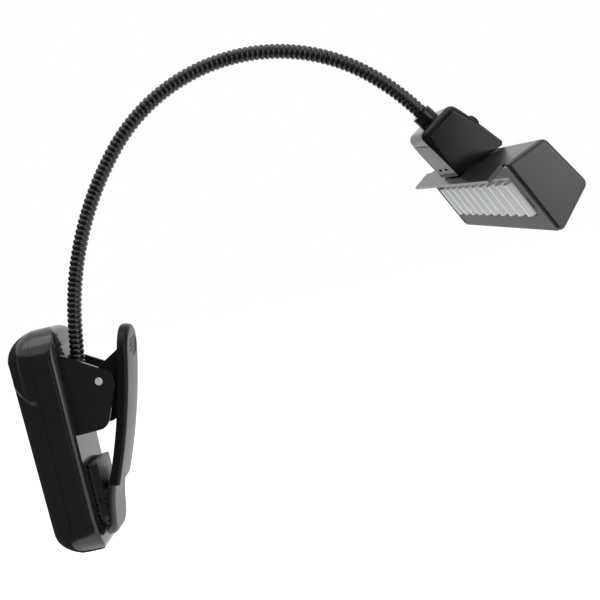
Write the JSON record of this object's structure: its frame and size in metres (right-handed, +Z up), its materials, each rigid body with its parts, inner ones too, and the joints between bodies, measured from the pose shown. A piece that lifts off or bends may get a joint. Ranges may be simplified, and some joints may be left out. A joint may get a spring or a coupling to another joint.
{
  "type": "clip-on reading lamp",
  "caption": "Battery reading lamp that clips on with a sprung lever and a swivelling jaw foot, and reaches out on a ribbed gooseneck to a bar-shaped LED head with a ribbed lens.",
  "frame": {"origin": "on the battery body's clamping face, mid-width, 16.2 mm above the body's lower end", "axes": "+X is the clamping face's outward normal, from the body towards the lever; +Y runs along the lever's pivot pin; +Z runs up the battery body towards the gooseneck"},
  "size_m": [0.2459, 0.1213, 0.2011],
  "materials": {
    "casing": "polished black ABS moulding",
    "dark_moulding": "fine-grained dark moulding",
    "collar_moulding": "satin black moulding",
    "cell_sleeve": null,
    "plated_steel": "zinc-plated steel",
    "bright_steel": "bright drawn steel",
    "neck_steel": "black lacquered steel ribs",
    "pad_rubber": "soft black rubber",
    "button_rubber": "satin black silicone rubber",
    "lead_jacket": "PVC jacket",
    "clear_lens": "frosted clear acrylic with ribs",
    "board": "white solder mask on glass-fibre board",
    "led_body": "LED package with yellow phosphor"
  },
  "bodies": {
    "clip": {"inner_shell": "casing", "outer_cover": "casing", "battery_cells": "cell_sleeve", "contact_springs": "plated_steel", "contact_plates": "plated_steel", "cover_screws": "plated_steel", "body_leads": "lead_jacket", "neck_sleeve": "plated_steel", "pivot_pin": "bright_steel", "torsion_spring": "bright_steel", "neck_root": "neck_steel", "root_leads": "lead_jacket"},
    "door": {"battery_door": "casing"},
    "lever_arm": {"lever": "casing", "lever_toe": "dark_moulding", "spring_lever_leg": "bright_steel", "jaw_foot_pin": "bright_steel"},
    "foot": {"jaw_foot": "dark_moulding", "jaw_foot_pad": "pad_rubber"},
    "lower_neck": {"neck_lower": "neck_steel", "lower_leads": "lead_jacket"},
    "middle_neck": {"neck_middle": "neck_steel", "middle_leads": "lead_jacket"},
    "upper_neck": {"neck_upper": "neck_steel", "upper_leads": "lead_jacket"},
    "crest_neck": {"neck_crest": "neck_steel", "crest_leads": "lead_jacket"},
    "front_neck": {"neck_front": "neck_steel", "front_leads": "lead_jacket"},
    "head": {"neck_end": "neck_steel", "end_leads": "lead_jacket", "collar": "collar_moulding", "neck_housing": "casing", "housing_base": "dark_moulding", "switch_module": "dark_moulding", "shade_shell": "casing", "lens_frame": "dark_moulding", "ribbed_lens": "clear_lens", "led_board": "board", "leds": "led_body", "resistors": "dark_moulding", "board_screws": "plated_steel", "housing_screws": "plated_steel"},
    "button": {"switch_button": "button_rubber"}
  },
  "joints": [
    {"name": "door_slide", "type": "slide", "parent": "clip", "child": "door", "axis": [0, 0, -1], "range_m": [0, 0.03]},
    {"name": "lever_squeeze", "type": "hinge", "parent": "clip", "child": "lever_arm", "pos_m": [0.0137, 0, 0.0574], "axis": [0, -1, 0], "range_deg": [0, 18], "stiffness_Nm_per_rad": 0.5, "springref_deg": -40.11},
    {"name": "foot_swivel", "type": "hinge", "parent": "lever_arm", "child": "foot", "pos_m": [0.0046, 0, 0.0073], "axis": [0, -1, 0], "range_deg": [-18, 0]},
    {"name": "neck_sway", "type": "hinge", "parent": "clip", "child": "lower_neck", "pos_m": [0.006, 0, 0.0813], "axis": [0.9869, 0, -0.1616], "range_deg": [-35, 35]},
    {"name": "neck_lower_bend", "type": "hinge", "parent": "lower_neck", "child": "middle_neck", "pos_m": [0.01841, 0, 0.12051], "axis": [0, 1, 0], "range_deg": [-35, 35]},
    {"name": "neck_upper_bend", "type": "hinge", "parent": "middle_neck", "child": "upper_neck", "pos_m": [0.04143, 0, 0.15458], "axis": [0, -1, 0], "range_deg": [-40, 40]},
    {"name": "neck_swing", "type": "hinge", "parent": "upper_neck", "child": "crest_neck", "pos_m": [0.07701, 0, 0.17762], "axis": [0.3115, 0, -0.9502], "range_deg": [-40, 40]},
    {"name": "neck_front_bend", "type": "hinge", "parent": "crest_neck", "child": "front_neck", "pos_m": [0.11932, 0, 0.18011], "axis": [0, 1, 0], "range_deg": [-40, 40]},
    {"name": "head_nod", "type": "hinge", "parent": "front_neck", "child": "head", "pos_m": [0.15991, 0, 0.15899], "axis": [0, -1, 0], "range_deg": [-40, 40]},
    {"name": "button_press", "type": "slide", "parent": "head", "child": "button", "axis": [-0.7958, -0.0101, -0.6055], "range_m": [0, 0.0012], "stiffness_N_per_m": 700, "springref_m": -0.001}
  ],
  "couplings": [
    {"joint": "foot_swivel", "follows": "lever_squeeze", "ratio": -1}
  ]
}
